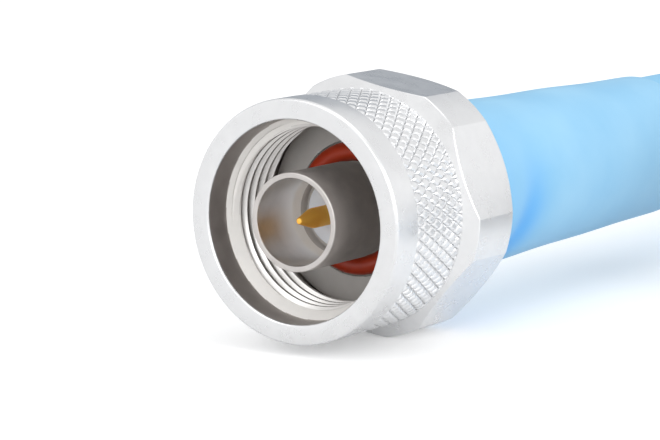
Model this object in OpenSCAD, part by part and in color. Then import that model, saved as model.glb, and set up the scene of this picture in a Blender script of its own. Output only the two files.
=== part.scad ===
// N type plug on a short jumper of thick coaxial cable, with a second plug on the far end.
// Every plug piece is built round the Z axis, its mating end at z = 0 and its cable towards +Z,
// then turned so that the near plug lies along Y, facing -Y. Millimetres.

/* [Coupling nut] */
// Length from the front face to the back face
nut_len = 17; // [16.6:0.1:17.4]
// How far the nut's front face stands ahead of the outer contact
nut_lead = 0.15; // [0.1:0.05:0.3]
// Radius of the plain front band
band_r = 10; // [9.9:0.05:10.2]
// Radius of the round blank, left as narrow strips at the hexagon's corners
corner_r = 11.05; // [10.9:0.05:11.4]
// Distance from the axis to each wrench flat
flat_r = 10.33; // [10.1:0.01:10.5]
// Turn of the hexagon about the axis, in degrees
nut_turn = 10.35; // [-30:0.05:30]
// Radius of the plain bore that the body runs in
nut_bore_r = 8.3; // [8.25:0.01:8.35]

/* [Knurl] */
// Grooves round the nut in each direction
knurl_count = 64; // [48:2:80]
// Depth of the diamonds
knurl_depth = 0.33; // [0.2:0.01:0.4]
// Rows of diamonds along the nut
knurl_rows = 8; // [6:1:8]
// Distance between rows
knurl_step = 0.84; // [0.7:0.01:0.84]

/* [Coupling thread] */
// Root radius of the nut's internal thread
thread_root_r = 7.94; // [7.9:0.01:8]
// Crest radius of the nut's internal thread
thread_crest_r = 7.42; // [7.4:0.01:7.5]
// Thread pitch
thread_pitch = 1.058; // [1:0.001:1.1]

/* [Outer contact] */
// Outer radius of the contact sleeve
sleeve_r = 4.04; // [4.02:0.01:4.06]
// Bore radius of the contact sleeve
sleeve_bore_r = 3.55; // [3.5:0.01:3.6]
// Distance from the contact's front to the flange that carries the gasket
flange_z = 9.15; // [9.1:0.05:9.3]
// Running clearance between the body and the nut's bore
run_gap = 0.08; // [0.04:0.01:0.1]

/* [Centre contact] */
// Radius of the contact pin
pin_r = 0.825; // [0.81:0.005:0.84]
// Distance from the outer contact's front back to the pin's tip
pin_tip_z = 0.75; // [0.5:0.05:1]

/* [Cable] */
// Radius of the cable's jacket
jacket_r = 6.3; // [6.1:0.1:6.3]
// Radius of the shrink sleeve behind the nut
shrink_front_r = 7.35; // [7.2:0.05:7.5]
// Radius of the shrink sleeve at its far end
shrink_back_r = 6.65; // [6.6:0.05:6.8]
// Where the shrink sleeve ends
shrink_end_z = 58; // [50:1:66]

/* [Hidden] */
$fn = 96;
eps = 0.01;
fit_gap = 0.02;                                   // between pieces that fit each other closely

// Nut, measured from its own front face
front_edge = 0.3;                                 // the band's rounded front edge
band_end = 3.12;                                  // the knurl starts here
band_step = 0.12;                                 // and the band's back edge is beveled
knurl_peak_r = band_r - 0.02;
knurl_root_r = knurl_peak_r - knurl_depth;
knurl_end = band_end + knurl_rows * knurl_step + 0.02;
cone_end = knurl_end + 0.96;
chamfer_len = 0.95;
chamfer_drop = 0.76;
bore_edge = 0.18;                                 // bevels at the bore's front and back
bore_back_edge = 0.3;
counterbore_len = 2.5;
thread_start = counterbore_len + nut_bore_r - thread_crest_r;
thread_end = 7.5;
thread_turns = 4;
thread_half = (thread_root_r - thread_crest_r) * tan(30) + thread_pitch / 16;
root_share = 0.18;                                // how much of a groove's width is its flat root
first_groove = thread_start + 0.48;
ring_z = 12;                                      // the retaining ring's groove in the nut
ring_groove_r = 8.85;
ring_width = 1.1;
ring_play = 0.1;

// Body, measured from the outer contact's front
body_r = nut_bore_r - run_gap;
body_end = nut_len - nut_lead - 0.25;
sleeve_edge = 0.1;                                // bevels on the sleeve, the flange and the back
flange_edge = 0.15;
body_edge = 0.2;
neck_z = 8;                                       // the sleeve is slimmer behind here
neck_r = sleeve_r - 0.18;
taper_z = 5;                                      // the bore tapers slightly from here
throat_z = 6.35;
throat_r = 3.3;
lip_z = 6.85;                                     // a lip holds the insulator
lip_end = 7.15;
lip_r = 2.95;
insulator_z = 6.5;
bead_r = 3.5;
bead_end = 10.9;
rear_r = 5;
rear_end = 12.8;
seat_r = 5.82;                                    // the cable's outer conductor sits here
seat_end = 14.8;
cup_r = 6.9;                                      // the jacket and its seal sit here
ring_in_body = ring_z - nut_lead;
ring_seat_r = 7.4;
ring_seat_play = 0.05;
gasket_ring_r = 4.78;
gasket_bead_r = 0.84;
gasket_seat_r = 5.7;
gasket_seat_z = flange_z + 0.9;

// Contact and cable end
pin_nose_r = 0.26;                                // the pin's blunt tip, and its taper behind
pin_nose_len = 0.1;
pin_full_z = 2.85;
pin_step_z = insulator_z + 0.1;
pin_shank_r = 0.65;                               // the pin is slimmer inside the insulator
shoulder_z = 8.92;
shoulder_r = 1.6;
collar_z = 11.02;
collar_end = 13.2;
collar_r = 2.4;
core_r = 1.8;
core_z = 11.85;
dielectric_r = 5.3;
shield_r = 5.8;
jacket_z = 15;
shrink_full_z = 24;                               // the shrink sleeve narrows from here

// Where things lie
flat_half = acos(flat_r / corner_r);              // half the angle that a flat spans
floor_z = -corner_r * cos(max(0, flat_half - abs(nut_turn)));
lay_z = floor_z + jacket_r + fit_gap;             // the cable's axis where it lies on the floor
far_z = floor_z + flat_r;                         // the far plug lies on a flat

// The cable: straight out of the near plug, one turn to the right, then in towards the far plug
bend_y = 101;
bend_r = 77;
curl_r = 55;
curl_angle = 95;
far_lead = 66;                                    // straight length up to the far plug's mating end
tube_sides = 12;
straight_ys = [jacket_z, 28, 41, 54, 66, 75, 84, 93];
curl_x = 2 * bend_r - curl_r;
curl_end = [curl_x + curl_r * cos(curl_angle), bend_y - curl_r * sin(curl_angle)];
far_dir = [-sin(curl_angle), -cos(curl_angle)];
far_xy = curl_end + far_lead * far_dir;
bend_len = PI * bend_r;
curl_len = curl_r * curl_angle * PI / 180;
route_len = bend_y + bend_len + curl_len + far_lead;

function ease(t) = let (u = max(0, min(1, t))) u * u * (3 - 2 * u);
// Height of the cable's axis at a distance s along the route from the near mating end
function cable_z(s) = lay_z * ease((s - 68) / 60) + (far_z - lay_z) * ease((s - route_len + 126) / 56);
route = concat(
    [for (y = straight_ys) [0, y, cable_z(y)]],
    [for (a = [0:9:180]) [bend_r - bend_r * cos(a), bend_y + bend_r * sin(a),
        cable_z(bend_y + bend_len * a / 180)]],
    [for (i = [1:8]) let (a = curl_angle * i / 8)
        [curl_x + curl_r * cos(a), bend_y - curl_r * sin(a),
        cable_z(bend_y + bend_len + curl_len * i / 8)]],
    [for (d = [12, 24, 38, far_lead - jacket_z])
        [curl_end[0] + d * far_dir[0], curl_end[1] + d * far_dir[1],
        cable_z(bend_y + bend_len + curl_len + d)]]);

function unit(v) = v / norm(v);

// A round tube swept along points, its rings square to the path
module sweep(points, r, sides) {
    n = len(points);
    rings = [for (i = [0:n - 1])
        let (t = unit(points[min(i + 1, n - 1)] - points[max(i - 1, 0)]),
            u = unit(cross(t, [0, 0, 1])), v = cross(u, t))
        for (k = [0:sides - 1])
            points[i] + r * cos(360 * (k + 0.5) / sides) * u + r * sin(360 * (k + 0.5) / sides) * v];
    polyhedron(rings, concat(
        [[for (k = [0:sides - 1]) k]],
        [for (i = [0:n - 2], k = [0:sides - 1])
            let (a = i * sides + k, b = i * sides + (k + 1) % sides)
            [a, a + sides, b + sides, b]],
        [[for (k = [sides - 1:-1:0]) (n - 1) * sides + k]]));
}

// The band of diamonds as one closed drum; rows of peaks step by half a diamond
module knurl_drum() {
    columns = 2 * knurl_count;
    first = band_end + knurl_step / 2;
    zs = concat([band_end - 0.05], [for (l = [0:knurl_rows - 1]) first + l * knurl_step],
        [knurl_end + 0.05]);
    last = len(zs) - 1;
    function peak(k, l) = l > 0 && l < last && (k + l) % 2 == 0;
    points = [for (l = [0:last], k = [0:columns - 1])
        let (r = peak(k, l) ? knurl_peak_r : knurl_root_r, a = 360 * k / columns)
        [r * cos(a), r * sin(a), zs[l]]];
    polyhedron(points, concat(
        [[for (k = [0:columns - 1]) k]],
        [for (l = [0:last - 1], k = [0:columns - 1], side = [0, 1])
            let (a = l * columns + k, b = l * columns + (k + 1) % columns,
                c = a + columns, d = b + columns, even = (k + l) % 2 == 0)
            side == 0 ? (even ? [a, c, b] : [a, d, b]) : (even ? [b, c, d] : [a, c, d])],
        [[for (k = [columns - 1:-1:0]) last * columns + k]]));
}

module nut_outline() {
    core = knurl_root_r - band_step;              // the knurled drum covers this
    polygon([[0, 0], [band_r - 0.75 * front_edge, 0], [band_r - 0.25 * front_edge, 0.25 * front_edge],
        [band_r, front_edge], [band_r, band_end - band_step], [band_r - band_step, band_end],
        [core, band_end], [core, knurl_end], [knurl_peak_r, knurl_end], [corner_r, cone_end],
        [corner_r, nut_len - chamfer_len],
        [corner_r - chamfer_drop, nut_len], [0, nut_len]]);
}

module nut_bore() {
    polygon(concat(
        [[0, -1], [nut_bore_r + bore_edge + 1, -1], [nut_bore_r + bore_edge, 0], [nut_bore_r, bore_edge],
            [nut_bore_r, counterbore_len], [thread_crest_r, thread_start]],
        [for (i = [0:thread_turns - 1], step = [-1, -root_share, root_share, 1])
            [abs(step) == 1 ? thread_crest_r : thread_root_r,
                first_groove + i * thread_pitch + step * thread_half]],
        [[thread_crest_r, thread_end], [nut_bore_r, thread_end + 0.3],
            [nut_bore_r, ring_z - ring_play], [ring_groove_r, ring_z - ring_play],
            [ring_groove_r, ring_z + ring_width + ring_play],
            [nut_bore_r, ring_z + ring_width + ring_play],
            [nut_bore_r, nut_len - bore_back_edge], [nut_bore_r + bore_back_edge, nut_len],
            [nut_bore_r + bore_back_edge + 1, nut_len + 1], [0, nut_len + 1]]));
}

module nut(turn) {
    color("Gainsboro") translate([0, 0, -nut_lead]) difference() {
        union() {
            intersection() {
                rotate_extrude() nut_outline();
                rotate(turn) translate([0, 0, -1])
                    cylinder(h = nut_len + 2, r = flat_r / cos(30), $fn = 6);
            }
            knurl_drum();
        }
        rotate_extrude() nut_bore();
    }
}

module retaining_ring() {
    color("Goldenrod") translate([0, 0, ring_in_body]) rotate(12)
        rotate_extrude(angle = 336)
            translate([ring_seat_r + ring_play, 0])
                square([ring_groove_r - ring_seat_r - 2 * ring_play, ring_width]);
}

module plug_body() {
    color("Silver") rotate_extrude() polygon([
        [sleeve_bore_r + sleeve_edge, 0], [sleeve_r - sleeve_edge, 0], [sleeve_r, sleeve_edge],
        [sleeve_r, neck_z],
        [neck_r, neck_z + 0.05], [neck_r, gasket_seat_z], [gasket_seat_r, gasket_seat_z],
        [gasket_seat_r, flange_z], [body_r - flange_edge, flange_z], [body_r, flange_z + flange_edge],
        [body_r, ring_in_body - ring_seat_play], [ring_seat_r, ring_in_body - ring_seat_play],
        [ring_seat_r, ring_in_body + ring_width + ring_seat_play],
        [body_r, ring_in_body + ring_width + ring_seat_play],
        [body_r, body_end - body_edge], [body_r - body_edge, body_end], [cup_r, body_end], [cup_r, seat_end],
        [seat_r, seat_end], [seat_r, rear_end], [rear_r, rear_end], [rear_r, bead_end],
        [bead_r, bead_end], [bead_r, lip_end], [lip_r, lip_end], [lip_r, lip_z],
        [throat_r, lip_z], [throat_r, throat_z], [sleeve_bore_r, taper_z],
        [sleeve_bore_r, sleeve_edge]]);
}

module gasket() {
    color("Firebrick") translate([0, 0, gasket_seat_z - gasket_bead_r])
        rotate_extrude() translate([gasket_ring_r, 0]) circle(gasket_bead_r, $fn = 48);
}

module contact_pin() {
    color("Goldenrod") rotate_extrude() polygon([
        [0, pin_tip_z], [0.7 * pin_nose_r, pin_tip_z], [pin_nose_r, pin_tip_z + pin_nose_len],
        [pin_r, pin_full_z],
        [pin_r, pin_step_z], [pin_shank_r, pin_step_z], [pin_shank_r, shoulder_z],
        [shoulder_r, shoulder_z], [shoulder_r, collar_z], [collar_r, collar_z], [collar_r, collar_end],
        [core_r + fit_gap, collar_end], [core_r + fit_gap, core_z - fit_gap], [0, core_z - fit_gap]]);
}

module front_insulator() {
    color("LightSteelBlue") rotate_extrude() polygon([
        [pin_r + eps, insulator_z], [lip_r - fit_gap, insulator_z], [lip_r - fit_gap, lip_end + eps],
        [bead_r - fit_gap, lip_end + eps], [bead_r - fit_gap, shoulder_z - eps],
        [pin_shank_r + eps, shoulder_z - eps], [pin_shank_r + eps, pin_step_z + eps],
        [pin_r + eps, pin_step_z + eps]]);
}

module rear_insulator() {
    color("White") rotate_extrude() polygon([
        [collar_r + fit_gap, collar_z], [rear_r - fit_gap, collar_z],
        [rear_r - fit_gap, rear_end - fit_gap], [collar_r + fit_gap, rear_end - fit_gap]]);
}

module centre_conductor() {
    color("Peru") translate([0, 0, core_z]) cylinder(h = jacket_z - core_z, r = core_r);
}

module cable_dielectric() {
    color("Ivory") translate([0, 0, collar_end + 0.1]) difference() {
        cylinder(h = jacket_z - collar_end - 0.1, r = dielectric_r);
        translate([0, 0, -1]) cylinder(h = 4, r = core_r + eps);
    }
}

module outer_conductor() {
    color("Peru") translate([0, 0, rear_end + 0.1]) difference() {
        cylinder(h = jacket_z - rear_end - 0.1, r = shield_r);
        translate([0, 0, -1]) cylinder(h = 5, r = dielectric_r + fit_gap);
    }
}

module jacket_seal() {
    color("DimGray") translate([0, 0, jacket_z + 0.1]) difference() {
        cylinder(h = body_end - jacket_z - 0.3, r = cup_r - fit_gap);
        translate([0, 0, -1]) cylinder(h = 4, r = jacket_r + fit_gap);
    }
}

module shrink_sleeve() {
    color("LightSkyBlue") rotate_extrude() polygon([
        [jacket_r + 0.03, body_end], [shrink_front_r - body_edge, body_end],
        [shrink_front_r, body_end + 2 * body_edge], [shrink_front_r, shrink_full_z],
        [shrink_back_r, shrink_end_z], [jacket_r + 0.03, shrink_end_z]]);
}

module cable_jacket() {
    color("LightSkyBlue") sweep(route, jacket_r, tube_sides);
}

// The near plug lies along Y with its mating end at the origin
module near_end() {
    rotate([-90, 0, 0]) children();
}

// The far plug lies inside the turn of the cable
module far_end() {
    translate([far_xy[0], far_xy[1], far_z]) rotate([0, 0, -curl_angle]) rotate([-90, 0, 0]) children();
}

near_end() nut(nut_turn);  // coupling_nut
near_end() retaining_ring();
near_end() plug_body();
near_end() gasket();
near_end() contact_pin();
near_end() front_insulator();
near_end() rear_insulator();
near_end() centre_conductor();
near_end() cable_dielectric();
near_end() outer_conductor();
near_end() jacket_seal();
near_end() shrink_sleeve();
cable_jacket();
far_end() nut(0);  // far_coupling_nut
far_end() retaining_ring();  // far_retaining_ring
far_end() plug_body();  // far_plug_body
far_end() gasket();  // far_gasket
far_end() contact_pin();  // far_contact_pin
far_end() front_insulator();  // far_front_insulator
far_end() rear_insulator();  // far_rear_insulator
far_end() centre_conductor();  // far_centre_conductor
far_end() cable_dielectric();  // far_cable_dielectric
far_end() outer_conductor();  // far_outer_conductor
far_end() jacket_seal();  // far_jacket_seal
far_end() shrink_sleeve();  // far_shrink_sleeve
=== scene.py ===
# %% [markdown]
# # A coaxial plug on a short jumper
#
# The object is a threaded coaxial plug: a knurled hexagonal coupling nut turns freely on a plug
# body, and inside it stand a thin contact sleeve and a gold pin. A thick blue cable leaves the
# back of the plug, makes one loose turn and ends in a second plug of the same kind.
#
# The exact solids were made in CAD. Here they are loaded as a fixed frame, and every visible
# piece is dressed with a finer mesh and a finish of its own. Lengths are written in millimetres,
# as a machinist would, and multiplied by MM, because Blender works in metres.

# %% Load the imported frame
import math

import bmesh
import bpy
from mathutils import Matrix, Vector


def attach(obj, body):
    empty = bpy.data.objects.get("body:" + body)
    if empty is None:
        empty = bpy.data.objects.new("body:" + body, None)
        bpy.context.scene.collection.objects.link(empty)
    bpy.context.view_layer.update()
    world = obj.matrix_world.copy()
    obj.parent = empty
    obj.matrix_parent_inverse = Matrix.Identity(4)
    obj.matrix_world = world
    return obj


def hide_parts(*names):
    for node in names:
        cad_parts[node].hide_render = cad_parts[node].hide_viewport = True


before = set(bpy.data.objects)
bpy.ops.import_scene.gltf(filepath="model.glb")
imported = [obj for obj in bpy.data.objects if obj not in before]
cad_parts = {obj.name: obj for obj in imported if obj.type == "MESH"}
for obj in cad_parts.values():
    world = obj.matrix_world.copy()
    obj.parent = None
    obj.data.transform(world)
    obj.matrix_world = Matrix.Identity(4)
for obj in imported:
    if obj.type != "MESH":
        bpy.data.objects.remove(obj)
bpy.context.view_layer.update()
MM = 0.001

# %% [markdown]
# ## Camera
#
# Product pictures of small parts are taken from far away with a long lens, so that the near rim
# doesn't look swollen. The camera therefore stands about 240 mm off and sees a narrow angle.

# %% Camera
# How far the nut's front stands ahead of the contact sleeve, in millimetres.
NUT_LEAD = 0.15
LENS = 163.6
CAMERA_OFFSET = Vector((134.4, -195.3, 37.1))
CAMERA_FORWARD = Vector((-0.5497, 0.8211, -0.1537))

camera_data = bpy.data.cameras.new("camera")
camera_data.lens = LENS
camera_data.sensor_width = 36
camera_data.clip_start = 0.01
camera = bpy.data.objects.new("camera", camera_data)
bpy.context.scene.collection.objects.link(camera)
bpy.context.scene.camera = camera
camera.location = (Vector((0, -NUT_LEAD, 0)) + CAMERA_OFFSET) * MM
camera.rotation_euler = CAMERA_FORWARD.to_track_quat("-Z", "Y").to_euler()
print("camera", round(CAMERA_OFFSET.length), "mm from the nut's face")

# %% [markdown]
# ## Driving sizes
#
# These few numbers place everything. The coupling nut is measured from its own front face, and
# the plug body from the front of its contact sleeve, which is the origin.

# %% Sizes of the nut, in millimetres
NUT_LEN = 17.0
BAND_R = 10.0
BAND_END = 3.12
CORNER_R = 11.05
FLAT_R = 10.33
NUT_TURN = 10.35
BORE_R = 8.3
KNURL_PEAK_R = 9.98
KNURL_ROOT_R = 9.73
KNURL_STEP = 0.84
KNURL_COUNT = 64
KNURL_ROWS = 8
KNURL_END = BAND_END + KNURL_ROWS * KNURL_STEP + 0.02
CONE_END = KNURL_END + 0.96
CHAMFER_LEN = 0.95
CHAMFER_DROP = 0.76
THREAD_CREST_R = 7.42
THREAD_ROOT_R = 7.94
THREAD_PITCH = 1.058
COUNTERBORE_LEN = 2.5
THREAD_END = 7.5
LEAD_IN_END = COUNTERBORE_LEN + 0.8
FLAT_HALF = math.degrees(math.acos(FLAT_R / CORNER_R))

# %% [markdown]
# ## The cable's route
#
# The cable leaves the near plug straight, rises and falls onto the table, runs round in one wide
# half turn, curls in and meets the far plug. The route is a short list of straight stations and
# two arcs, and its height follows a smooth step from axis height down to lying on the table.

# %% Route of the cable
JACKET_R = 6.3
JACKET_START = 15
BEND_Y = 101
BEND_R = 77
CURL_R = 55
CURL_ANGLE = 95
FAR_LEAD = 66
FALL_START = 68
FALL_LEN = 60
RISE_TO_GO = 126
RISE_LEN = 56
BEND_STEPS = 40
CURL_STEPS = 16
TABLE_GAP = 0.02
NEAR_STATIONS = [JACKET_START, 28, 41, 54, 66, 75, 84, 93]
FAR_STATIONS = [12, 24, 38, FAR_LEAD - JACKET_START]
FLOOR_Z = -CORNER_R * math.cos(math.radians(max(0, FLAT_HALF - NUT_TURN)))
LAY_Z = FLOOR_Z + JACKET_R + TABLE_GAP
FAR_Z = FLOOR_Z + FLAT_R
BEND_LEN = math.pi * BEND_R
CURL_LEN = CURL_R * math.radians(CURL_ANGLE)
ROUTE_LEN = BEND_Y + BEND_LEN + CURL_LEN + FAR_LEAD
CURL_X = 2 * BEND_R - CURL_R
curl_turn = math.radians(CURL_ANGLE)
curl_end = Vector((CURL_X + CURL_R * math.cos(curl_turn), BEND_Y - CURL_R * math.sin(curl_turn), 0))
far_direction = Vector((-math.sin(curl_turn), -math.cos(curl_turn), 0))


def ease(t):
    """A smooth step from 0 to 1."""
    u = max(0, min(1, t))
    return u * u * (3 - 2 * u)


def cable_height(s):
    """Height of the cable's middle at a distance s along its route."""
    fall = LAY_Z * ease((s - FALL_START) / FALL_LEN)
    rise = (FAR_Z - LAY_Z) * ease((s - ROUTE_LEN + RISE_TO_GO) / RISE_LEN)
    return fall + rise


def cable_route():
    points = [Vector((0, y, cable_height(y))) for y in NEAR_STATIONS]
    for step in range(BEND_STEPS + 1):
        a = math.pi * step / BEND_STEPS
        z = cable_height(BEND_Y + BEND_R * a)
        points.append(Vector((BEND_R - BEND_R * math.cos(a), BEND_Y + BEND_R * math.sin(a), z)))
    for step in range(1, CURL_STEPS + 1):
        a = curl_turn * step / CURL_STEPS
        z = cable_height(BEND_Y + BEND_LEN + CURL_R * a)
        points.append(Vector((CURL_X + CURL_R * math.cos(a), BEND_Y - CURL_R * math.sin(a), z)))
    for d in FAR_STATIONS:
        z = cable_height(BEND_Y + BEND_LEN + CURL_LEN + d)
        points.append(curl_end + far_direction * d + Vector((0, 0, z)))
    return points


route = cable_route()

# %% [markdown]
# ## Two ends, one recipe
#
# Both plugs are the same, so each piece is made once in the near plug's place, its axis along Y,
# and the far one is the same mesh carried to the far end by a matrix. The matrix goes into the
# mesh, and the object itself stays at the origin.

# %% Places of the two plugs
far_origin = curl_end + far_direction * FAR_LEAD + Vector((0, 0, FAR_Z))
FAR_PLACE = Matrix.Translation(far_origin) @ Matrix.Rotation(-curl_turn, 4, "Z")
ENDS = [("", Matrix.Identity(4), NUT_TURN), ("far_", FAR_PLACE, 0)]
TO_METRES = Matrix.Scale(MM, 4)
print("far plug at", [round(c, 2) for c in far_origin])

# %% [markdown]
# ## A lathe in code
#
# Nearly every piece here is turned on a lathe. The helper spins a profile of radius and length
# round the Y axis. A closed profile gives a ring-shaped solid with no seam, and a profile that
# touches the axis gets a single pole there. It also stores how far along the surface each point
# lies, so that a finish can draw fine tool marks that follow the turning.


# %% The lathe
# How much a step outwards counts against a step along the axis, for the tool marks.
RADIAL_SHARE = 0.7
# Angles in degrees above which an edge is drawn sharp.
TURNED_SHARP = 28
NUT_SHARP = 19
SOFT_SHARP = 40


def on_circle(radius, y, angle):
    return (radius * math.sin(angle), y, radius * math.cos(angle))


def mark_along(mesh):
    along = mesh.attributes.new("along", "FLOAT", "POINT")
    along.data.foreach_set(
        "value", [v.co.y + RADIAL_SHARE * math.hypot(v.co.x, v.co.z) for v in mesh.vertices]
    )


def finish_mesh(mesh, place, sharp=TURNED_SHARP):
    """Carries a mesh in millimetres to its place in metres, and smooths its shading."""
    mark_along(mesh)
    mesh.transform(TO_METRES @ place)
    mesh.shade_smooth()
    mesh.set_sharp_from_angle(angle=math.radians(sharp))
    mesh.update()


def lathe(name, profile, columns=144):
    """A closed profile of (radius, y), in millimetres, spun round Y."""
    mesh = bmesh.new()
    rings = []
    for radius, y in profile:
        if radius < 1e-6:
            rings.append([mesh.verts.new((0, y, 0))] * columns)
            continue
        ring = [mesh.verts.new(on_circle(radius, y, math.tau * c / columns)) for c in range(columns)]
        rings.append(ring)
    for here, there in zip(rings, rings[1:] + rings[:1]):
        for c in range(columns):
            corners = [here[c], here[(c + 1) % columns], there[(c + 1) % columns], there[c]]
            distinct = list(dict.fromkeys(corners))
            if len(distinct) > 2:
                mesh.faces.new(distinct)
    bmesh.ops.recalc_face_normals(mesh, faces=mesh.faces)
    data = bpy.data.meshes.new(name)
    mesh.to_mesh(data)
    mesh.free()
    return data


def show(name, mesh, material, body, nodes):
    """Puts a mesh in the scene as a visible piece on a body, in place of CAD nodes."""
    piece = bpy.data.objects.new(name, mesh)
    bpy.context.scene.collection.objects.link(piece)
    mesh.materials.clear()
    mesh.materials.append(material)
    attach(piece, body)
    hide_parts(*nodes)
    return piece


def rounded(corner_in, corner, corner_out, steps=4):
    """Points of a smooth round between two points, bent towards their corner."""
    a, b, c = Vector(corner_in), Vector(corner), Vector(corner_out)
    ts = [i / steps for i in range(steps + 1)]
    return [tuple(a * (1 - t) ** 2 + b * 2 * t * (1 - t) + c * t * t) for t in ts]


# %% [markdown]
# ## Finishes
#
# A finish is a small tree of shader nodes. The metal helper gives a bare metal its colour and
# gloss, adds fine rings where the tool has turned it, and a grain that breaks up the gloss the
# way bead blasting or handling does.


# %% Finish helpers
NOISE_LOW = 0.3
NOISE_HIGH = 0.7
METAL_CLOUD_SCALE = 700
PLASTIC_CLOUD_SCALE = 160
PLASTIC_GRAIN_SCALE = 2500
RINGS_PER_MM = 9


def finish(name, colour, roughness, metallic=0.0):
    material = bpy.data.materials.new(name)
    material.use_nodes = True
    shader = material.node_tree.nodes["Principled BSDF"]
    shader.inputs["Base Color"].default_value = (*colour, 1)
    shader.inputs["Roughness"].default_value = roughness
    shader.inputs["Metallic"].default_value = metallic
    return material, material.node_tree, shader


def node(tree, kind, **values):
    made = tree.nodes.new(kind)
    for key, value in values.items():
        if key in made.inputs:
            made.inputs[key].default_value = value
        else:
            setattr(made, key, value)
    return made


def grain(tree, scale, detail=3.0):
    """Noise that fills space, so it has no seam on any piece."""
    place = node(tree, "ShaderNodeTexCoord")
    noise = node(tree, "ShaderNodeTexNoise", Scale=scale, Detail=detail)
    tree.links.new(place.outputs["Object"], noise.inputs["Vector"])
    return noise.outputs["Fac"]


def rings(tree, per_mm, detail=4.0):
    """Noise along the profile only: the same all round, like a turning tool's marks."""
    along = node(tree, "ShaderNodeAttribute", attribute_name="along")
    noise = node(tree, "ShaderNodeTexNoise", noise_dimensions="1D", Scale=per_mm, Detail=detail)
    tree.links.new(along.outputs["Fac"], noise.inputs["W"])
    return noise.outputs["Fac"]


def map_range(tree, value, start, end, low=0.0, high=1.0, easing="SMOOTHSTEP"):
    """Goes from low to high while the value goes from start to end."""
    made = node(tree, "ShaderNodeMapRange", interpolation_type=easing)
    for label, number in zip(("From Min", "From Max", "To Min", "To Max"), (start, end, low, high)):
        made.inputs[label].default_value = number
    tree.links.new(value, made.inputs["Value"])
    return made.outputs["Result"]


def spread(tree, source, low, high):
    """Maps noise, which stays near its middle, to a range."""
    return map_range(tree, source, NOISE_LOW, NOISE_HIGH, low, high, "LINEAR")


def blend(tree, amount, first, second):
    """Mixes two colours; each is a plain colour or another node's output."""
    mix = node(tree, "ShaderNodeMix", data_type="RGBA")
    for socket, colour in zip([s for s in mix.inputs if s.type == "RGBA"], (first, second)):
        if isinstance(colour, tuple):
            socket.default_value = (*colour, 1)
        else:
            tree.links.new(colour, socket)
    tree.links.new(amount, mix.inputs["Factor"])
    return [s for s in mix.outputs if s.type == "RGBA"][0]


def bumped(tree, shader, layers):
    """Stacks bumps: each layer is a height source and its depth in metres."""
    normal = None
    for source, depth in layers:
        bump = node(tree, "ShaderNodeBump", Strength=1.0, Distance=depth)
        tree.links.new(source, bump.inputs["Height"])
        if normal is not None:
            tree.links.new(normal, bump.inputs["Normal"])
        normal = bump.outputs["Normal"]
    tree.links.new(normal, shader.inputs["Normal"])


def two_tone(tree, shader, source, dark, light):
    tree.links.new(blend(tree, source, dark, light), shader.inputs["Base Color"])


def metal(name, dark, light, gloss, ring_depth, grain_depth, grain_scale=9000):
    """gloss is the lowest and highest roughness, depths are in metres."""
    material, tree, shader = finish(name, light, gloss[0], 1.0)
    fine = grain(tree, grain_scale)
    cloudy = grain(tree, METAL_CLOUD_SCALE)
    two_tone(tree, shader, spread(tree, cloudy, 0, 1), dark, light)
    tree.links.new(spread(tree, cloudy, *gloss), shader.inputs["Roughness"])
    bumped(tree, shader, [(rings(tree, RINGS_PER_MM), ring_depth), (fine, grain_depth)])
    return material


# %% Metals of the plug
nut_finish = metal(
    "satin_nickel", (0.79, 0.795, 0.805), (0.83, 0.835, 0.845), (0.26, 0.31), 3e-7, 1e-7, 14000
)
bore_finish = metal(
    "turned_nickel", (0.72, 0.705, 0.69), (0.80, 0.785, 0.77), (0.34, 0.4), 6e-7, 1e-7
)
counterbore_finish = metal(
    "dull_nickel", (0.58, 0.54, 0.52), (0.64, 0.60, 0.58), (0.42, 0.46), 6e-7, 1e-7
)
body_finish = metal(
    "turned_sleeve", (0.58, 0.55, 0.53), (0.66, 0.63, 0.61), (0.3, 0.34), 9e-7, 1e-7
)
barrel_finish = metal(
    "dull_barrel", (0.50, 0.465, 0.45), (0.58, 0.54, 0.52), (0.42, 0.46), 9e-7, 1e-7
)
flange_finish = metal(
    "dull_flange", (0.62, 0.60, 0.58), (0.68, 0.66, 0.64), (0.7, 0.76), 6e-7, 1e-7
)
# A lighter copy of the bore metal: painted light for the bore's bright ring and the nut's lead-in cone.
painted_light_metal = metal(
    "painted_light_throat", (0.93, 0.92, 0.90), (0.97, 0.96, 0.94), (0.7, 0.76), 6e-7, 1e-7
)
gold_finish = metal(
    "gold_plate", (1.0, 0.54, 0.10), (1.0, 0.61, 0.13), (0.48, 0.56), 8e-7, 1e-7
)
ring_finish = metal(
    "spring_bronze", (0.62, 0.42, 0.20), (0.72, 0.50, 0.26), (0.3, 0.4), 6e-7, 4e-7
)
copper_finish = metal(
    "bare_copper", (0.72, 0.38, 0.24), (0.84, 0.48, 0.32), (0.3, 0.42), 6e-7, 4e-7
)
print("metal finishes made")


# %% Plastics and rubber
def plastic(name, dark, light, roughness, grain_depth):
    material, tree, shader = finish(name, light, roughness)
    cloudy = grain(tree, PLASTIC_CLOUD_SCALE)
    two_tone(tree, shader, spread(tree, cloudy, 0, 1), dark, light)
    tree.links.new(spread(tree, cloudy, roughness - 0.04, roughness + 0.06), shader.inputs["Roughness"])
    bumped(tree, shader, [(grain(tree, PLASTIC_GRAIN_SCALE), grain_depth)])
    return material


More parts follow.
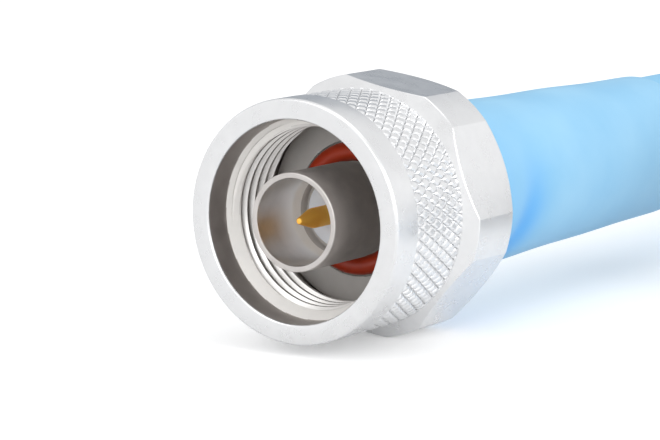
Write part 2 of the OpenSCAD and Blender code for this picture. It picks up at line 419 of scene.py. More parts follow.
gasket_finish = plastic("silicone_gasket", (0.42, 0.034, 0.007), (0.52, 0.045, 0.01), 0.38, 2e-6)
bead_finish = plastic("insulator_plastic", (0.67, 0.71, 0.78), (0.73, 0.78, 0.85), 0.42, 1e-6)
foam_finish = plastic("foam_core", (0.82, 0.80, 0.74), (0.88, 0.86, 0.80), 0.6, 6e-6)
seal_finish = plastic("seal_rubber", (0.03, 0.03, 0.032), (0.05, 0.05, 0.052), 0.55, 3e-6)
sleeve_finish = plastic("shrink_sleeve", (0.255, 0.565, 0.83), (0.32, 0.62, 0.86), 0.42, 3e-6)
jacket_finish = plastic("cable_jacket", (0.215, 0.55, 0.84), (0.275, 0.61, 0.88), 0.4, 3e-6)


def paint_light_and_shade(material, attribute, colour):
    """Mixes a second colour in where a mesh attribute is high; it paints shade on the sleeve and light in
    the body's bore.
    """
    tree = material.node_tree
    base = tree.nodes["Principled BSDF"].inputs["Base Color"]
    plain = base.links[0].from_socket
    amount = node(tree, "ShaderNodeAttribute", attribute_name=attribute)
    tree.links.new(blend(tree, amount.outputs["Fac"], plain, colour), base)


# Painted shade: the sleeve's blue goes deeper in its crease and just behind the nut.
paint_light_and_shade(sleeve_finish, "crease_painted_shade", (0.10, 0.44, 0.90))
# Painted light: the sleeve's bore turns near white towards its end.
paint_light_and_shade(body_finish, "bore_painted_light", (0.95, 0.94, 0.92))

hidden_finishes = {
    "retaining_ring": ring_finish,
    "rear_insulator": bead_finish,
    "centre_conductor": copper_finish,
    "cable_dielectric": foam_finish,
    "outer_conductor": copper_finish,
    "jacket_seal": seal_finish,
}
for part, material in hidden_finishes.items():
    for end, _, _ in ENDS:
        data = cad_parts[end + part].data
        data.materials.clear()
        data.materials.append(material)
print("inner parts dressed:", len(hidden_finishes) * 2)

# %% [markdown]
# ## Plug body and its inner pieces
#
# The body is one turned part: a thin sleeve in front, a flange that carries the gasket, and a
# drum that the nut runs on. Real edges are never perfectly sharp, so each visible corner of the
# profile gets a tiny round, which is what catches the light as a bright line. The sleeve's bore
# has painted light in its colour, which grows towards its end, where light comes off the pale
# disc, and a ring of painted light, a lighter copy of the metal, lies there in front of a dull
# lip. The rest of the body, outside the bore, is duller.

# %% Plug body
BODY_PROFILE = [
    *rounded((3.55, 0.16), (3.55, 0), (3.66, 0)),
    *rounded((3.93, 0), (4.04, 0), (4.04, 0.12)),
    (4.04, 8), (3.86, 8.05), (3.86, 10.05), (5.7, 10.05),
    *rounded((5.7, 9.2), (5.7, 9.15), (5.75, 9.15), 2),
    *rounded((8.05, 9.15), (8.22, 9.15), (8.22, 9.32)),
    (8.22, 11.8), (7.4, 11.8), (7.4, 13.0), (8.22, 13.0),
    *rounded((8.22, 16.4), (8.22, 16.6), (8.02, 16.6)),
    (6.9, 16.6), (6.9, 14.8), (5.82, 14.8), (5.82, 12.8), (5.0, 12.8), (5.0, 10.9), (3.5, 10.9),
    (3.5, 7.15), (2.95, 7.15), (2.95, 6.85), (3.3, 6.85),
    *rounded((3.3, 6.45), (3.3, 6.35), (3.32, 6.27), 3),
    (3.37, 6.0), (3.55, 5.0), (3.55, 3.8), (3.55, 2.4),
]
PIN_PROFILE = [
    (0, 0.75), *rounded((0.12, 0.75), (0.24, 0.76), (0.29, 0.92)), (0.76, 2.55),
    *rounded((0.76, 2.55), (0.82, 2.72), (0.825, 2.9)),
    (0.825, 6.6), (0.65, 6.6), (0.65, 8.92), (1.6, 8.92), (1.6, 11.02), (2.4, 11.02), (2.4, 13.2),
    (1.82, 13.2), (1.82, 11.83), (0, 11.83),
]
BEAD_PROFILE = [
    *rounded((0.835, 6.53), (0.835, 6.5), (0.87, 6.5), 2),
    *rounded((2.87, 6.5), (2.93, 6.5), (2.93, 6.56), 2),
    (2.93, 7.16), (3.48, 7.16), (3.48, 8.91), (0.66, 8.91), (0.66, 6.61), (0.835, 6.61),
]
GASKET_R, GASKET_BEAD_R, GASKET_Z = 4.76, 0.81, 9.24
GASKET_PROFILE = [
    (GASKET_R + GASKET_BEAD_R * math.cos(t), GASKET_Z + GASKET_BEAD_R * math.sin(t))
    for t in [math.tau * step / 32 for step in range(32)]
]
BODY_BORE, BODY_BARREL, BODY_DULL, BODY_PAINTED_LIGHT = range(4)
FLANGE_Y = 9.0
THROAT_Y = (5.0, 6.0)
SLEEVE_WALL_R = 3.8
SLEEVE_RIM_Y = 0.1
BORE_SIDE_R = SLEEVE_WALL_R - 0.2
BRIGHT_START_Y = 2.4
BRIGHT_LEN = 3


def body_zone(centre):
    """Material slot of a body face: rim and bore, sleeve's outside, painted-light throat, or the rest."""
    radius = math.hypot(centre.x, centre.z)
    if centre.y > FLANGE_Y:
        return BODY_DULL
    if radius > SLEEVE_WALL_R and centre.y > SLEEVE_RIM_Y:
        return BODY_BARREL
    if centre.y < THROAT_Y[0]:
        return BODY_BORE
    return BODY_PAINTED_LIGHT if centre.y < THROAT_Y[1] else BODY_DULL


def mark_bore_painted_light(mesh):
    """Stores how much painted light the bore's colour gets at each point, from 0 to 1."""
    depth = mesh.attributes.new("bore_painted_light", "FLOAT", "POINT")
    for v in mesh.vertices:
        in_bore = math.hypot(v.co.x, v.co.z) < BORE_SIDE_R
        depth.data[v.index].value = ease((v.co.y - BRIGHT_START_Y) / BRIGHT_LEN) if in_bore else 0


turned_pieces = [
    ("plug_body", BODY_PROFILE, body_finish, "body_metal"),
    ("contact_pin", PIN_PROFILE, gold_finish, "pin_gold"),
    ("front_insulator", BEAD_PROFILE, bead_finish, "bead_plastic"),
    ("gasket", GASKET_PROFILE, gasket_finish, "gasket_rubber"),
]
far_pieces = []
for part, profile, material, slot in turned_pieces:
    is_body = part == "plug_body"
    for end, place, _ in ENDS:
        mesh = lathe(end + part + "_mesh", profile)
        if is_body:
            zones = [body_zone(face.center) for face in mesh.polygons]
            mark_bore_painted_light(mesh)
        finish_mesh(mesh, place)
        piece = show(end + part + "_turned", mesh, material, "plug", [end + part])
        if is_body:
            for extra in (barrel_finish, flange_finish, painted_light_metal):
                mesh.materials.append(extra)
            mesh.polygons.foreach_set("material_index", zones)
        if end:
            far_pieces.append(piece)
    print(part, len(mesh.polygons), "faces")

# %% [markdown]
# ## Coupling nut: the shell
#
# The nut was turned from round bar and then had six flats milled on it. The flats don't meet:
# between them a narrow strip of the round bar is left. A flat cuts the front cone along a curve,
# and the same happens at the back chamfer. The grid below gets columns that sit exactly on the
# flats' edges, and in each column the rows slide to where cone, flat and chamfer cross, so every
# edge is crisp without a boolean cut. A narrow bevel follows the hexagon's front and back edges,
# and it is what shows as a bright line.

# %% Columns of the nut
FLAT_STEPS = 30
STRIP_STEPS = 14
CONE_SLOPE = (CONE_END - KNURL_END) / (CORNER_R - KNURL_PEAK_R)
CHAMFER_SLOPE = CHAMFER_LEN / CHAMFER_DROP
EDGE_BEVEL = 0.042
SIDE_ANGLE = 60
RING_GROOVE_R = 8.85
RING_GROOVE_START = 11.9
RING_GROOVE_END = 13.2
RUN_BORE_START = 7.8


def nut_columns(turn):
    """Angle and reach of each column, flats and strips in turn."""
    columns = []
    strip = SIDE_ANGLE - 2 * FLAT_HALF
    for side in range(6):
        middle = turn + SIDE_ANGLE * side
        for step in range(FLAT_STEPS):
            a = -FLAT_HALF + 2 * FLAT_HALF * step / FLAT_STEPS
            columns.append((math.radians(middle + a), FLAT_R / math.cos(math.radians(a))))
        for step in range(STRIP_STEPS):
            a = FLAT_HALF + strip * step / STRIP_STEPS
            columns.append((math.radians(middle + a), CORNER_R))
    return columns


def nut_rows(reach):
    """The closed profile of the nut in a column whose hexagon reaches that radius."""
    cone = KNURL_END + (reach - KNURL_PEAK_R) * CONE_SLOPE
    chamfer = NUT_LEN - CHAMFER_LEN + (CORNER_R - reach) * CHAMFER_SLOPE
    return [
        *rounded((BORE_R, 0.2), (BORE_R + 0.02, 0.02), (BORE_R + 0.2, 0), 6),
        (9.1, 0),
        *rounded((BAND_R - 0.24, 0), (BAND_R - 0.02, 0.0), (BAND_R, 0.3), 6),
        (BAND_R, BAND_END - 0.12),
        (BAND_R - 0.12, BAND_END),
        (KNURL_ROOT_R - 0.02, BAND_END + 0.03),
        (KNURL_ROOT_R - 0.02, KNURL_END - 0.03),
        (KNURL_PEAK_R - 0.05, KNURL_END - 0.01),
        (KNURL_PEAK_R, KNURL_END),
        (reach - EDGE_BEVEL, cone - EDGE_BEVEL * CONE_SLOPE),
        (reach, cone + EDGE_BEVEL),
        (reach, chamfer - EDGE_BEVEL),
        (reach - EDGE_BEVEL, chamfer + EDGE_BEVEL * CHAMFER_SLOPE),
        *rounded((CORNER_R - CHAMFER_DROP + 0.02, NUT_LEN - 0.04), (10.28, NUT_LEN), (10.2, NUT_LEN), 2),
        *rounded((BORE_R + 0.3, NUT_LEN), (BORE_R + 0.05, NUT_LEN), (BORE_R, NUT_LEN - 0.3)),
        (BORE_R, RING_GROOVE_END), (RING_GROOVE_R, RING_GROOVE_END),
        (RING_GROOVE_R, RING_GROOVE_START), (BORE_R, RING_GROOVE_START), (BORE_R, RUN_BORE_START),
    ]


def nut_shell(turn):
    mesh = bmesh.new()
    columns = nut_columns(turn)
    grid = [[mesh.verts.new(on_circle(r, y, a)) for r, y in nut_rows(reach)] for a, reach in columns]
    rows = len(grid[0])
    for here, there in zip(grid, grid[1:] + grid[:1]):
        for r in range(rows):
            s = (r + 1) % rows
            mesh.faces.new([here[r], there[r], there[s], here[s]])
    bmesh.ops.recalc_face_normals(mesh, faces=mesh.faces)
    return mesh


print("nut shell grid:", len(nut_columns(0)), "columns")

# %% [markdown]
# ## Coupling nut: the diamond knurl
#
# A knurling tool rolls two sets of crossing grooves, and what is left between them is a lattice
# of small diamonds with flat crowns and steep sides. Each diamond is the same, so Geometry Nodes
# make one and set it on points that walk round the nut row by row, every second row stepped by
# half a diamond. Its points are crowded towards its edges, where the sides fall into thin grooves.


# %% Small helpers for node trees
def tree_with_inputs(name, sizes):
    """An empty Geometry Nodes tree with named float inputs."""
    tree = bpy.data.node_groups.new(name, "GeometryNodeTree")
    tree.interface.new_socket("Geometry", in_out="INPUT", socket_type="NodeSocketGeometry")
    tree.interface.new_socket("Geometry", in_out="OUTPUT", socket_type="NodeSocketGeometry")
    for label, value in sizes.items():
        socket = tree.interface.new_socket(label, in_out="INPUT", socket_type="NodeSocketFloat")
        socket.default_value = value
    return tree, tree.nodes.new("NodeGroupInput"), tree.nodes.new("NodeGroupOutput")


def calc(tree, operation, *values):
    """One Math node; each value is a number or another node's output."""
    made = tree.nodes.new("ShaderNodeMath")
    made.operation = operation
    for socket, value in zip(made.inputs, values):
        if isinstance(value, (int, float)):
            socket.default_value = value
        else:
            tree.links.new(value, socket)
    return made.outputs[0]


def joined_xyz(tree, x, y, z):
    made = tree.nodes.new("ShaderNodeCombineXYZ")
    for socket, value in zip(made.inputs, (x, y, z)):
        if isinstance(value, (int, float)):
            socket.default_value = value
        else:
            tree.links.new(value, socket)
    return made.outputs[0]


def run_tree(tree, sizes):
    """Runs a tree on an empty mesh and returns the plain mesh that it makes."""
    holder = bpy.data.objects.new("holder", bpy.data.meshes.new("holder"))
    bpy.context.scene.collection.objects.link(holder)
    modifier = holder.modifiers.new("maker", "NODES")
    modifier.node_group = tree
    for item in tree.interface.items_tree:
        if item.in_out == "INPUT" and item.name in sizes:
            modifier[item.identifier] = float(sizes[item.name])
    graph = bpy.context.evaluated_depsgraph_get()
    made = bpy.data.meshes.new_from_object(holder.evaluated_get(graph))
    bpy.data.objects.remove(holder)
    return made


# %% Knurl tree
KNURL_SIZES = {
    "Rows": KNURL_ROWS + 2,
    "Diamonds Round": KNURL_COUNT,
    "Row Step": KNURL_STEP,
    "First Row": BAND_END - KNURL_STEP / 2,
    "Root Radius": KNURL_ROOT_R,
    "Depth": KNURL_PEAK_R - KNURL_ROOT_R,
    "Steepness": 1.5,
}
PILLOW_SIDE = 7
KNURL_WELD = 0.004


def knurl_tree():
    tree, sizes, out = tree_with_inputs("diamond_knurl", KNURL_SIZES)
    size = sizes.outputs
    link = tree.links.new
    half_turn = calc(tree, "MULTIPLY", size["Root Radius"], math.pi)
    half_round = calc(tree, "DIVIDE", half_turn, size["Diamonds Round"])
    grid = node(tree, "GeometryNodeMeshGrid")
    for axis in "XY":
        grid.inputs["Size " + axis].default_value = 2
        grid.inputs["Vertices " + axis].default_value = PILLOW_SIDE
    split = node(tree, "ShaderNodeSeparateXYZ")
    link(node(tree, "GeometryNodeInputPosition").outputs[0], split.inputs[0])
    u = calc(tree, "SINE", calc(tree, "MULTIPLY", split.outputs["X"], math.pi / 2))
    v = calc(tree, "SINE", calc(tree, "MULTIPLY", split.outputs["Y"], math.pi / 2))
    across = calc(tree, "MULTIPLY", calc(tree, "MULTIPLY", calc(tree, "SUBTRACT", u, v), 0.5), half_round)
    along = calc(tree, "MULTIPLY", calc(tree, "MULTIPLY", calc(tree, "ADD", u, v), 0.5), size["Row Step"])
    crown_u = calc(tree, "SUBTRACT", 1, calc(tree, "POWER", u, 4))
    crown_v = calc(tree, "SUBTRACT", 1, calc(tree, "POWER", v, 4))
    rounded_top = calc(tree, "MULTIPLY", calc(tree, "MULTIPLY", crown_u, crown_v), size["Steepness"])
    crown = calc(tree, "MINIMUM", rounded_top, 1)
    height = calc(tree, "MULTIPLY_ADD", crown, size["Depth"], size["Root Radius"])
    pillow = node(tree, "GeometryNodeSetPosition")
    link(grid.outputs["Mesh"], pillow.inputs["Geometry"])
    link(joined_xyz(tree, across, along, height), pillow.inputs["Position"])
    points = node(tree, "GeometryNodePoints")
    link(calc(tree, "MULTIPLY", size["Rows"], size["Diamonds Round"]), points.inputs["Count"])
    index = node(tree, "GeometryNodeInputIndex").outputs[0]
    row = calc(tree, "FLOOR", calc(tree, "DIVIDE", calc(tree, "ADD", index, 0.5), size["Diamonds Round"]))
    half_step = calc(tree, "MULTIPLY", calc(tree, "MODULO", row, 2), 0.5)
    turn = calc(tree, "DIVIDE", calc(tree, "ADD", index, half_step), size["Diamonds Round"])
    angle = calc(tree, "MULTIPLY", turn, math.tau)
    axial = calc(tree, "MULTIPLY_ADD", row, size["Row Step"], size["First Row"])
    link(joined_xyz(tree, 0, axial, 0), points.inputs["Position"])
    placed = node(tree, "GeometryNodeInstanceOnPoints")
    link(points.outputs[0], placed.inputs["Points"])
    link(pillow.outputs[0], placed.inputs["Instance"])
    link(joined_xyz(tree, 0, angle, 0), placed.inputs["Rotation"])
    real = node(tree, "GeometryNodeRealizeInstances")
    link(placed.outputs[0], real.inputs[0])
    welded = node(tree, "GeometryNodeMergeByDistance", Distance=KNURL_WELD)
    link(real.outputs[0], welded.inputs["Geometry"])
    painted = node(tree, "GeometryNodeSetMaterial", Material=nut_finish)
    link(welded.outputs[0], painted.inputs["Geometry"])
    link(painted.outputs[0], out.inputs[0])
    return tree


knurl = run_tree(knurl_tree(), KNURL_SIZES)
print("knurl:", len(knurl.polygons), "faces")

# %% [markdown]
# ## Coupling nut: the internal thread
#
# The thread is one helical groove. A grid whose rows lean with the helix follows it exactly: there
# are a fixed number of rows to one pitch, and going once round lifts a row by one whole pitch. The
# rows start from a crest's middle, so that the crest's edges lie on rows and come out crisp. The
# lead-in cone and the run-out are cut by taking the larger radius of thread and cone.

# %% Thread tree
ROWS_PER_PITCH = 24
THREAD_COLUMNS = 240
THREAD_MARK_Y = 3.33
FLANK_ANGLE = 30
RUN_OUT_SLOPE = 3
THREAD_WELD = 0.002
INSERT_START = COUNTERBORE_LEN - 0.05
INSERT_END = THREAD_END + 0.33
THREAD_SIZES = {
    "Start": INSERT_START,
    "End": INSERT_END,
    "Pitch": THREAD_PITCH,
    "Crest Radius": THREAD_CREST_R,
    "Root Radius": THREAD_ROOT_R,
    "Outer Radius": BORE_R + 0.05,
    "First Crest": THREAD_MARK_Y - THREAD_PITCH * 0.75,
    "Crest Half Width": THREAD_PITCH / 8,
}


def thread_tree():
    tree, sizes, out = tree_with_inputs("coupling_thread", THREAD_SIZES)
    size = sizes.outputs
    link = tree.links.new
    span = INSERT_END - THREAD_SIZES["First Crest"] + 2 * THREAD_PITCH
    rows = math.ceil(span / THREAD_PITCH * ROWS_PER_PITCH) + 2
    grid = node(tree, "GeometryNodeMeshGrid")
    grid.inputs["Vertices X"].default_value = THREAD_COLUMNS + 1
    grid.inputs["Vertices Y"].default_value = rows
    index = node(tree, "GeometryNodeInputIndex").outputs[0]
    column = calc(tree, "FLOOR", calc(tree, "DIVIDE", calc(tree, "ADD", index, 0.5), rows))
    row = calc(tree, "SUBTRACT", index, calc(tree, "MULTIPLY", column, rows))
    turn = calc(tree, "DIVIDE", column, THREAD_COLUMNS)
    rise = calc(tree, "MULTIPLY", calc(tree, "DIVIDE", row, ROWS_PER_PITCH), size["Pitch"])
    start = calc(tree, "MULTIPLY_ADD", size["Pitch"], -2, size["First Crest"])
    flat_y = calc(tree, "ADD", start, rise)
    leaning_y = calc(tree, "MULTIPLY_ADD", turn, size["Pitch"], flat_y)
    axial = calc(tree, "MINIMUM", calc(tree, "MAXIMUM", leaning_y, size["Start"]), size["End"])
    from_crest = calc(tree, "SUBTRACT", flat_y, size["First Crest"])
    half_pitch = calc(tree, "MULTIPLY", size["Pitch"], 0.5)
    off_crest = calc(tree, "PINGPONG", from_crest, half_pitch)
    flank = calc(tree, "SUBTRACT", off_crest, size["Crest Half Width"])
    slope = 1 / math.tan(math.radians(FLANK_ANGLE))
    risen = calc(tree, "MAXIMUM", calc(tree, "MULTIPLY", flank, slope), 0)
    thread_r = calc(tree, "MINIMUM", calc(tree, "ADD", size["Crest Radius"], risen), size["Root Radius"])
    lead_in = calc(tree, "SUBTRACT", size["Outer Radius"], calc(tree, "SUBTRACT", axial, size["Start"]))
    run_out = calc(
        tree, "SUBTRACT", size["Outer Radius"],
        calc(tree, "MULTIPLY", calc(tree, "SUBTRACT", size["End"], axial), RUN_OUT_SLOPE),
    )
    cut_r = calc(tree, "MAXIMUM", calc(tree, "MAXIMUM", thread_r, lead_in), run_out)
    closing = calc(tree, "GREATER_THAN", row, rows - 1.5)
    open_part = calc(tree, "SUBTRACT", 1, closing)
    radius = calc(
        tree, "ADD", calc(tree, "MULTIPLY", cut_r, open_part),
        calc(tree, "MULTIPLY", size["Outer Radius"], closing),
    )
    y = calc(
        tree, "ADD", calc(tree, "MULTIPLY", axial, open_part),
        calc(tree, "MULTIPLY", size["Start"], closing),
    )
    angle = calc(tree, "MULTIPLY", turn, math.tau)
    x = calc(tree, "MULTIPLY", calc(tree, "SINE", angle), radius)
    z = calc(tree, "MULTIPLY", calc(tree, "COSINE", angle), radius)
    rolled = node(tree, "GeometryNodeSetPosition")
    link(grid.outputs["Mesh"], rolled.inputs["Geometry"])
    link(joined_xyz(tree, x, y, z), rolled.inputs["Position"])
    welded = node(tree, "GeometryNodeMergeByDistance", Distance=THREAD_WELD)
    link(rolled.outputs[0], welded.inputs["Geometry"])
    real = node(tree, "GeometryNodeRealizeInstances")
    link(welded.outputs[0], real.inputs[0])
    painted = node(tree, "GeometryNodeSetMaterial", Material=bore_finish)
    link(real.outputs[0], painted.inputs["Geometry"])
    link(painted.outputs[0], out.inputs[0])
    return tree


thread = run_tree(thread_tree(), THREAD_SIZES)
print("thread:", len(thread.polygons), "faces")

# %% [markdown]
# ## Coupling nut: put together
#
# Shell, diamonds and thread become one mesh for each nut, because they are one piece of metal and
# move together. The outside has the satin finish, the thread a turned one, the plain bores a
# duller one, and the cone that leads into the thread a lighter matt copy of the metal, which is
# painted light.


# %% Join and place the nuts
NUT_OUTSIDE, NUT_THREAD, NUT_BORE, NUT_LEAD_IN_PAINTED_LIGHT = range(4)
NUT_BODIES = {"": "nut", "far_": "far_nut"}
INNER_R = BORE_R + 0.19
BORE_MARGIN = 0.02
FRONT_EDGE_LEN = 0.2
BACK_EDGE_LEN = 0.3


def add_part(whole, part, closed):
    """Adds a mesh with its faces outwards; an open skin is judged by its topmost face."""
    piece = bmesh.new()
    piece.from_mesh(part)
    if closed:
        bmesh.ops.recalc_face_normals(piece, faces=piece.faces)
    else:
        face = max(piece.faces, key=lambda f: f.calc_center_median().z)
        if face.normal.z < 0:
            bmesh.ops.reverse_faces(piece, faces=piece.faces)
    copy = bpy.data.meshes.new("part")
    piece.to_mesh(copy)
    piece.free()
    whole.from_mesh(copy)
    bpy.data.meshes.remove(copy)


def nut_zone(centre):
    """Material slot of a nut face: outside, thread, plain bore, or the cone that leads in, which gets
    painted light.
    """
    radius = math.hypot(centre.x, centre.z)
    if radius >= INNER_R or not FRONT_EDGE_LEN < centre.y < NUT_LEN - BACK_EDGE_LEN:
        return NUT_OUTSIDE
    if radius > BORE_R - BORE_MARGIN:
        return NUT_BORE
    return NUT_LEAD_IN_PAINTED_LIGHT if centre.y < LEAD_IN_END else NUT_THREAD


def coupling_nut(name, place, turn):
    whole = nut_shell(turn)
    add_part(whole, knurl, closed=False)
    add_part(whole, thread, closed=True)
    for face in whole.faces:
        face.material_index = nut_zone(face.calc_center_median())
    mesh = bpy.data.meshes.new(name)
    whole.to_mesh(mesh)
    whole.free()
    finish_mesh(mesh, place @ Matrix.Translation((0, -NUT_LEAD, 0)), NUT_SHARP)
    return mesh


for end, place, turn in ENDS:
    mesh = coupling_nut(end + "coupling_nut_mesh", place, turn)
    zones = [face.material_index for face in mesh.polygons]
    piece = show(
        end + "coupling_nut_knurled", mesh, nut_finish, NUT_BODIES[end], [end + "coupling_nut"]
    )
    for extra in (bore_finish, counterbore_finish, painted_light_metal):
        mesh.materials.append(extra)
    mesh.polygons.foreach_set("material_index", zones)
    if end:
        far_pieces.append(piece)
    print(piece.name, sum(len(f.vertices) - 2 for f in mesh.polygons), "triangles")

# %% [markdown]
# ## Shrink sleeve
#
# A thick blue sleeve is shrunk over the joint between plug and cable. Shrunk tube follows what is
# under it, so it isn't a perfect cylinder: it swells a little, and just behind the nut it has one
# soft crease. The tube is a lathe shape whose points are then pushed in and out by a few smooth
# functions. Painted shade deepens its blue in the crease and just behind the nut.

# %% Shrink sleeve
SLEEVE_START = 16.6
SLEEVE_END = 58
SLEEVE_FRONT_R = 7.35
SLEEVE_BACK_R = 6.65
SLEEVE_TAPER_Y = 24
SLEEVE_STEP = 0.6
SKIN_DROP = 0.05
CREASE_Y = 25.1
CREASE_WIDTH = 2.1
CREASE_DEPTH = 0.4
CREASE_SWAY = 1.6
# Angles round the sleeve, in degrees from the top.
CREASE_SWAY_SIDE = 60
CREASE_SIDE = 122
CREASE_SPREAD = 46


def sleeve_radius(y):
    t = max(0, (y - SLEEVE_TAPER_Y) / (SLEEVE_END - SLEEVE_TAPER_Y))
    return SLEEVE_FRONT_R + (SLEEVE_BACK_R - SLEEVE_FRONT_R) * t


def bell(x, width):
    """A smooth hump of height 1."""
    return math.exp(-((x / width) ** 2))


def crease(y, angle):
    """How deep in the crease a point is, from 0 to 1."""
    side = math.degrees(angle)
    crease_y = CREASE_Y + CREASE_SWAY * math.cos(math.radians(side - CREASE_SWAY_SIDE))
    return bell(y - crease_y, CREASE_WIDTH) * bell(side - CREASE_SIDE, CREASE_SPREAD)


def sleeve_relief(y, angle):
    """How far the skin lies below its plain radius, in millimetres."""
    waves = 0.03 * math.sin(y * 0.42 + 2 * angle) + 0.02 * math.sin(y * 0.23 - 3 * angle + 1)
    return CREASE_DEPTH * crease(y, angle) + SKIN_DROP + waves


def painted_shade_amount(y, angle):
    """How much painted shade darkens the blue in the crease and just behind the nut, more on the lower
    side, from 0 to 1.
    """
    # The painted shade behind the nut is stronger on the sleeve's lower side.
    below = 0.4 + 0.5 * bell(math.degrees(angle) - 125, 45)
    return min(1, crease(y, angle) + bell(y - SLEEVE_START - 2, 3.5) * below)


def sleeve_mesh(name):
    steps = int((SLEEVE_END - SLEEVE_START - 1) / SLEEVE_STEP)
    stations = [SLEEVE_START + 0.4 + SLEEVE_STEP * step for step in range(steps + 1)]
    stations.append(SLEEVE_END - 0.3)
    outer = [(sleeve_radius(y), y) for y in stations]
    profile = [
        (JACKET_R + 0.03, SLEEVE_START), (SLEEVE_FRONT_R - 0.15, SLEEVE_START), *outer,
        (SLEEVE_BACK_R - 0.08, SLEEVE_END - 0.06), (SLEEVE_BACK_R - 0.25, SLEEVE_END),
        (JACKET_R + 0.03, SLEEVE_END),
    ]
    mesh = lathe(name, profile)
    # Each point keeps its amount of painted shade for the sleeve's colour.
    crease_painted_shade = mesh.attributes.new("crease_painted_shade", "FLOAT", "POINT")
    for v in mesh.vertices:
        radius = math.hypot(v.co.x, v.co.z)
        angle = math.atan2(v.co.x, v.co.z)
        crease_painted_shade.data[v.index].value = painted_shade_amount(v.co.y, angle)
        if radius > JACKET_R + 0.2:
            shrink = (radius - sleeve_relief(v.co.y, angle)) / radius
            v.co.x *= shrink
            v.co.z *= shrink
    return mesh


for end, place, _ in ENDS:
    mesh = sleeve_mesh(end + "shrink_sleeve_mesh")
    finish_mesh(mesh, place, SOFT_SHARP)
    piece = show(
        end + "shrink_sleeve_creased", mesh, sleeve_finish, "plug", [end + "shrink_sleeve"]
    )
    if end:
        far_pieces.append(piece)
print("shrink sleeves", round(SLEEVE_END - SLEEVE_START, 1), "mm long")

# %% [markdown]
# ## Cable
#
# The jacket is a tube swept along the route, with rings square to the path so that it keeps its
# thickness through the bends. The cable's far turn and the far sleeve would show as blue smudges in
# the bright metal of the near plug, and the gaskets as red ones, so shiny surfaces don't see them.


# %% Cable jacket
def swept_tube(name, points, radius, sides=32):
    """A closed tube along a list of points, in millimetres."""
    mesh = bmesh.new()
    rings = []
    for i, point in enumerate(points):
        tangent = (points[min(i + 1, len(points) - 1)] - points[max(i - 1, 0)]).normalized()
        side = tangent.cross(Vector((0, 0, 1))).normalized()
        up = side.cross(tangent)
        turns = [math.tau * (k + 0.5) / sides for k in range(sides)]
        ring = [point + (side * math.cos(t) + up * math.sin(t)) * radius for t in turns]
        rings.append([mesh.verts.new(corner) for corner in ring])
    for here, there in zip(rings, rings[1:]):
        for k in range(sides):
            n = (k + 1) % sides
            mesh.faces.new([here[k], here[n], there[n], there[k]])
    mesh.faces.new(rings[0])
    mesh.faces.new(rings[-1])
    bmesh.ops.recalc_face_normals(mesh, faces=mesh.faces)
    data = bpy.data.meshes.new(name)
    mesh.to_mesh(data)
    mesh.free()
    return data


jacket_mesh = swept_tube("cable_jacket_mesh", route, JACKET_R)
finish_mesh(jacket_mesh, Matrix.Identity(4), SOFT_SHARP)
jacket = show("cable_jacket_tube", jacket_mesh, jacket_finish, "plug", ["cable_jacket"])
jacket.visible_glossy = False
for piece in far_pieces:
    piece.visible_glossy = "sleeve" not in piece.name and "gasket" not in piece.name
bpy.data.objects["gasket_turned"].visible_glossy = False

# %% [markdown]
# ## Table and room
#
# The part lies on a plain white table in a white room. A white background must not mean more
# light on the part, so table and room are pure white only to the camera, and the light that falls
# on the part stays at a plain level. Bare metal shows what is around it, so shiny surfaces see
# walls that are a little brighter, a soft grey card behind on the left, and a table that is
# lighter beside and behind the plug than in front of it.

# %% Table
TABLE_HALF = 3.0
TABLE_WHITE = (0.86, 0.86, 0.86)
CAMERA_LIFT = 0.27
SHINY_LIFT = 0.14
SHINY_LIFT_Y = (-0.010, 0.020)


def ray_kinds(tree):
    """Whether a ray is seen straight by the camera, and whether it is seen in a shiny surface."""
    path = node(tree, "ShaderNodeLightPath")
    straight = calc(tree, "MAXIMUM", path.outputs["Is Camera Ray"], path.outputs["Is Transmission Ray"])
    return straight, path.outputs["Is Glossy Ray"]


def one_axis(tree, vector, axis):
    parts = node(tree, "ShaderNodeSeparateXYZ")
    tree.links.new(vector, parts.inputs[0])
    return parts.outputs[axis]


table_data = bpy.data.meshes.new("table_top")
corners = [(x * TABLE_HALF, y * TABLE_HALF) for x, y in [(-1, -1), (1, -1), (1, 1), (-1, 1)]]
table_data.from_pydata([(x, y, FLOOR_Z * MM) for x, y in corners], [], [(0, 1, 2, 3)])
table_top = bpy.data.objects.new("table_top", table_data)
bpy.context.scene.collection.objects.link(table_top)

table_finish, table_tree, table_shader = finish("table_white", TABLE_WHITE, 0.7)
table_straight, table_shiny = ray_kinds(table_tree)
table_y = one_axis(table_tree, node(table_tree, "ShaderNodeTexCoord").outputs["Object"], "Y")
behind_plug = map_range(table_tree, table_y, *SHINY_LIFT_Y, 0, SHINY_LIFT)
shiny_lift = calc(table_tree, "MULTIPLY", table_shiny, behind_plug)
lift = calc(table_tree, "MULTIPLY_ADD", table_straight, CAMERA_LIFT, shiny_lift)
table_shader.inputs["Emission Color"].default_value = (1, 1, 1, 1)
table_tree.links.new(lift, table_shader.inputs["Emission Strength"])
table_data.materials.append(table_finish)
print("table", 2 * TABLE_HALF, "m wide")

# %% Room
CARD_TOWARD = (-0.52, 0.85, 0.0)
CARD_SIDE_EDGE = (0.70, 0.88)
CARD_TOP_EDGE = (0.64, 0.42)
CARD_GREY = (0.36, 0.39, 0.43)
CEILING_EDGE = (0.24, 0.48)
PLAIN_LIGHT = 0.88
WALL_LIGHT = 1.06
CEILING_LIGHT = 0.95

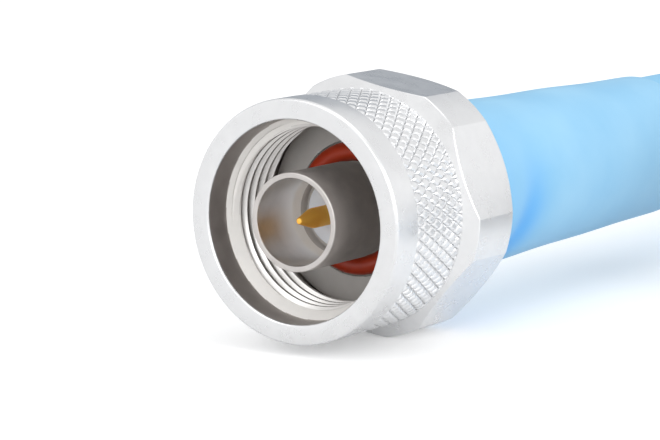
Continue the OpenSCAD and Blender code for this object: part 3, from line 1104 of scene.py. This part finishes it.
world = bpy.data.worlds.new("white_room")
bpy.context.scene.world = world
world.use_nodes = True
sky = world.node_tree
background = sky.nodes["Background"]
sky_straight, sky_shiny = ray_kinds(sky)
direction = node(sky, "ShaderNodeTexCoord").outputs["Generated"]
upward = one_axis(sky, direction, "Z")
toward = node(sky, "ShaderNodeVectorMath", operation="DOT_PRODUCT")
toward.inputs[1].default_value = CARD_TOWARD
sky.links.new(direction, toward.inputs[0])
card_side = map_range(sky, toward.outputs["Value"], *CARD_SIDE_EDGE)
card_top = map_range(sky, upward, *CARD_TOP_EDGE)
card = calc(sky, "MULTIPLY", card_side, card_top)
card = calc(sky, "MULTIPLY", card, calc(sky, "SUBTRACT", 1, sky_straight))
card = calc(sky, "MULTIPLY", card, sky_shiny)
sky.links.new(blend(sky, card, (1, 1, 1), CARD_GREY), background.inputs["Color"])

# %% Room light
wall_extra = WALL_LIGHT - PLAIN_LIGHT
ceiling_extra = CEILING_LIGHT - PLAIN_LIGHT
shiny_extra = map_range(sky, upward, *CEILING_EDGE, wall_extra, ceiling_extra)
plain = calc(sky, "MULTIPLY_ADD", sky_straight, 1 - PLAIN_LIGHT, PLAIN_LIGHT)
strength = calc(sky, "MULTIPLY_ADD", sky_shiny, shiny_extra, plain)
sky.links.new(strength, background.inputs["Strength"])
print("room light", PLAIN_LIGHT, "on the part, and", WALL_LIGHT, "where its metal mirrors the walls")

# %% [markdown]
# ## Lamps
#
# Four large round lamps, as soft as a photographer's boxes. One hangs overhead and makes the soft
# shadow, one stands in front on the left and lights the nut's face, one looks down the bore to
# the thread and the pin, and a low one on the right draws the hexagon's edges.


# %% Lamps
PLUG_MIDDLE = (0, 0.01, 0)
PLUG_FACE = (0, 0, 0)


def softbox(name, location, target, size, power):
    data = bpy.data.lights.new(name, "AREA")
    data.shape = "DISK"
    data.size = size
    data.energy = power
    lamp = bpy.data.objects.new(name, data)
    bpy.context.scene.collection.objects.link(lamp)
    lamp.location = location
    aim = Vector(target) - Vector(location)
    lamp.rotation_euler = aim.to_track_quat("-Z", "Y").to_euler()


lamps = [
    ("overhead", (0.10, 0.05, 0.7), PLUG_MIDDLE, 0.5, 0.5),
    ("front_left", (-0.22, -0.58, 0.50), PLUG_MIDDLE, 0.4, 0.6),
    ("down_the_bore", (0.14, -0.50, 0.16), PLUG_FACE, 0.25, 0.45),
    ("right_side", (0.52, 0.02, 0.21), PLUG_MIDDLE, 0.3, 0.75),
]
for lamp in lamps:
    softbox(*lamp)
bpy.context.scene.view_settings.view_transform = "Standard"
print("lamps:", len(lamps))
